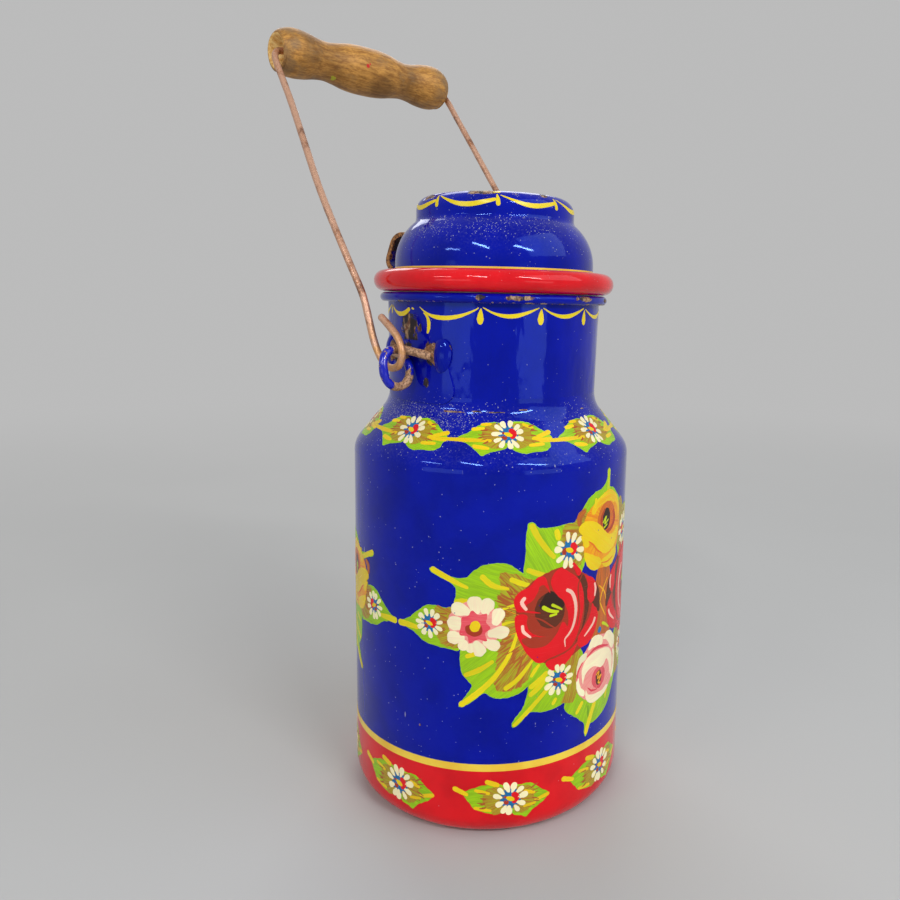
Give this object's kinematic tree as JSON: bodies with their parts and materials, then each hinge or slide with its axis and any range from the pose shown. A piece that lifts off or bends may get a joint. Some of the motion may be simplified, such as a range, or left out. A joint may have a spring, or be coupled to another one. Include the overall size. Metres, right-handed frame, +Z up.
{
  "type": "lidded enamel can with bail handle",
  "caption": "Straight-sided enamel can with a sloping shoulder, a rolled mouth, a lift-off domed lid and a swinging wire bail with a turned wooden grip.",
  "frame": {"origin": "centre of the base, on the surface the can stands on", "axes": "+Z up along the axis of the can, X through the two wire eyes, +Y towards the side the bail leans to at rest"},
  "size_m": [0.1354, 0.1831, 0.3648],
  "materials": {
    "blue_enamel": "gloss enamel with small chips and dust",
    "red_enamel": "gloss enamel",
    "painted_wire": "thick blue paint over iron wire, worn through in spots",
    "rusty_wire": "browned iron wire with light rust",
    "turned_wood": "turned hardwood, worn and darkened",
    "worn_strap": "blue enamel worn to brown metal along the edges"
  },
  "bodies": {
    "can": {"body_shell": "blue_enamel", "neck_collar": "blue_enamel", "mouth_bead": "blue_enamel", "ear_plate_near": "blue_enamel", "ear_plate_far": "blue_enamel", "ear_ring_near": "painted_wire", "ear_ring_far": "painted_wire"},
    "bail": {"bail_wire": "rusty_wire"},
    "grip": {"grip": "turned_wood"},
    "lid": {"lid_cover": "blue_enamel", "lid_rim": "red_enamel", "lid_collar": "blue_enamel", "lid_handle": "worn_strap"}
  },
  "joints": [
    {"name": "bail_swing", "type": "hinge", "parent": "can", "child": "bail", "pos_m": [0, 0, 0.2095], "axis": [-1, 0, 0], "range_deg": [-171.5, 98.5]},
    {"name": "grip_spin", "type": "hinge", "parent": "bail", "child": "grip", "pos_m": [0, 0.10588, 0.35259], "axis": [1, 0, 0], "continuous": true},
    {"name": "lid_lift", "type": "slide", "parent": "can", "child": "lid", "axis": [0, 0, 1], "range_m": [0, 0.12]}
  ]
}
